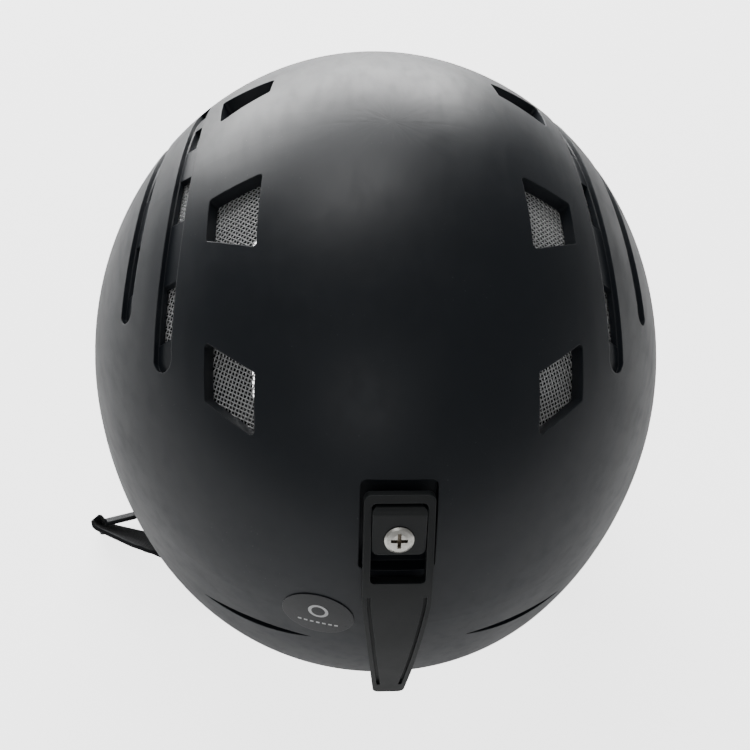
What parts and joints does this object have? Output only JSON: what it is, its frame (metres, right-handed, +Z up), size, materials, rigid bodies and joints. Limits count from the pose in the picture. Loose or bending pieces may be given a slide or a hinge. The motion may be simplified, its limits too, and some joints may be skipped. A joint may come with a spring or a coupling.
{
  "type": "ski helmet",
  "caption": "Hard-shell ski helmet with meshed vents, flip-up goggle-strap clip, dial-adjusted headband, ear pads and chin strap with slide buckle",
  "frame": {"origin": "middle of the head cavity, level with the shell's widest section", "axes": "+Z up, -Y towards the brow, +Y towards the nape, +X towards the wearer's left ear"},
  "size_m": [0.2188, 0.245, 0.1952],
  "materials": {
    "shell": "soft-touch matte black, slightly blue",
    "clip_plastic": "moulded satin black",
    "foam": "beaded dark grey foam",
    "mesh": "plain-woven bright wire",
    "steel": "nickel plated",
    "sticker": "printed vinyl",
    "pad_fabric": "brushed knit over foam",
    "ear_fabric": "woven nylon over foam",
    "fit_plastic": "moulded nylon",
    "dial_rubber": "soft grip",
    "webbing": "woven polyester webbing"
  },
  "bodies": {
    "helmet": {"brow_pad": "pad_fabric", "buckle_socket": "fit_plastic", "chin_pad": "pad_fabric", "chin_strap_left": "webbing", "chin_strap_right": "webbing", "clip_base": "clip_plastic", "clip_nut": "steel", "clip_screw": "steel", "crown_pad": "pad_fabric", "dial_case": "fit_plastic", "dial_cover": "fit_plastic", "ear_lining_left": "pad_fabric", "ear_lining_right": "pad_fabric", "ear_pad_left": "ear_fabric", "ear_pad_right": "ear_fabric", "ear_tab_left": "fit_plastic", "ear_tab_right": "fit_plastic", "eps_liner": "foam", "front_strap_anchor_left": "fit_plastic", "front_strap_anchor_right": "fit_plastic", "front_strap_left": "webbing", "front_strap_right": "webbing", "front_vent_mesh_left": "mesh", "front_vent_mesh_right": "mesh", "headband_left": "fit_plastic", "headband_right": "fit_plastic", "inner_groove_mesh_left": "mesh", "inner_groove_mesh_right": "mesh", "mid_vent_mesh_left": "mesh", "mid_vent_mesh_right": "mesh", "nape_cradle": "fit_plastic", "nape_pad": "pad_fabric", "outer_groove_mesh_left": "mesh", "outer_groove_mesh_right": "mesh", "outer_shell": "shell", "rear_pad": "pad_fabric", "rear_strap_anchor_left": "fit_plastic", "rear_strap_anchor_right": "fit_plastic", "rear_strap_left": "webbing", "rear_strap_right": "webbing", "rear_vent_mesh_left": "mesh", "rear_vent_mesh_right": "mesh", "side_pad_left": "pad_fabric", "side_pad_right": "pad_fabric", "size_sticker": "sticker", "strap_divider_left": "fit_plastic", "strap_divider_right": "fit_plastic"},
    "goggle_clip": {"goggle_clip": "clip_plastic"},
    "dial": {"fit_dial": "dial_rubber", "dial_spindle": "fit_plastic"},
    "left_rack": {"rack_left": "fit_plastic"},
    "right_rack": {"rack_right": "fit_plastic"},
    "buckle": {"buckle_tongue": "fit_plastic"}
  },
  "joints": [
    {"name": "goggle_clip_flip", "type": "hinge", "parent": "helmet", "child": "goggle_clip", "pos_m": [0, 0.10786, 0.04661], "axis": [1, 0, 0], "range_deg": [0, 60]},
    {"name": "dial_turn", "type": "hinge", "parent": "helmet", "child": "dial", "pos_m": [0, 0.083, -0.056], "axis": [0, -1, 0], "range_deg": [0, 150]},
    {"name": "left_rack_slide", "type": "slide", "parent": "helmet", "child": "left_rack", "axis": [-1, 0, 0], "range_m": [0, 0.0121], "deforming": ["headband_left"]},
    {"name": "right_rack_slide", "type": "slide", "parent": "helmet", "child": "right_rack", "axis": [1, 0, 0], "range_m": [0, 0.0121], "deforming": ["headband_right"]},
    {"name": "buckle_slide", "type": "slide", "parent": "helmet", "child": "buckle", "axis": [0, 1, 0], "range_m": [0, 0.022], "deforming": ["chin_strap_left"]}
  ],
  "couplings": [
    {"joint": "left_rack_slide", "follows": "dial_turn", "m_per_rad": 0.0045837},
    {"joint": "right_rack_slide", "follows": "dial_turn", "m_per_rad": 0.0045837}
  ]
}
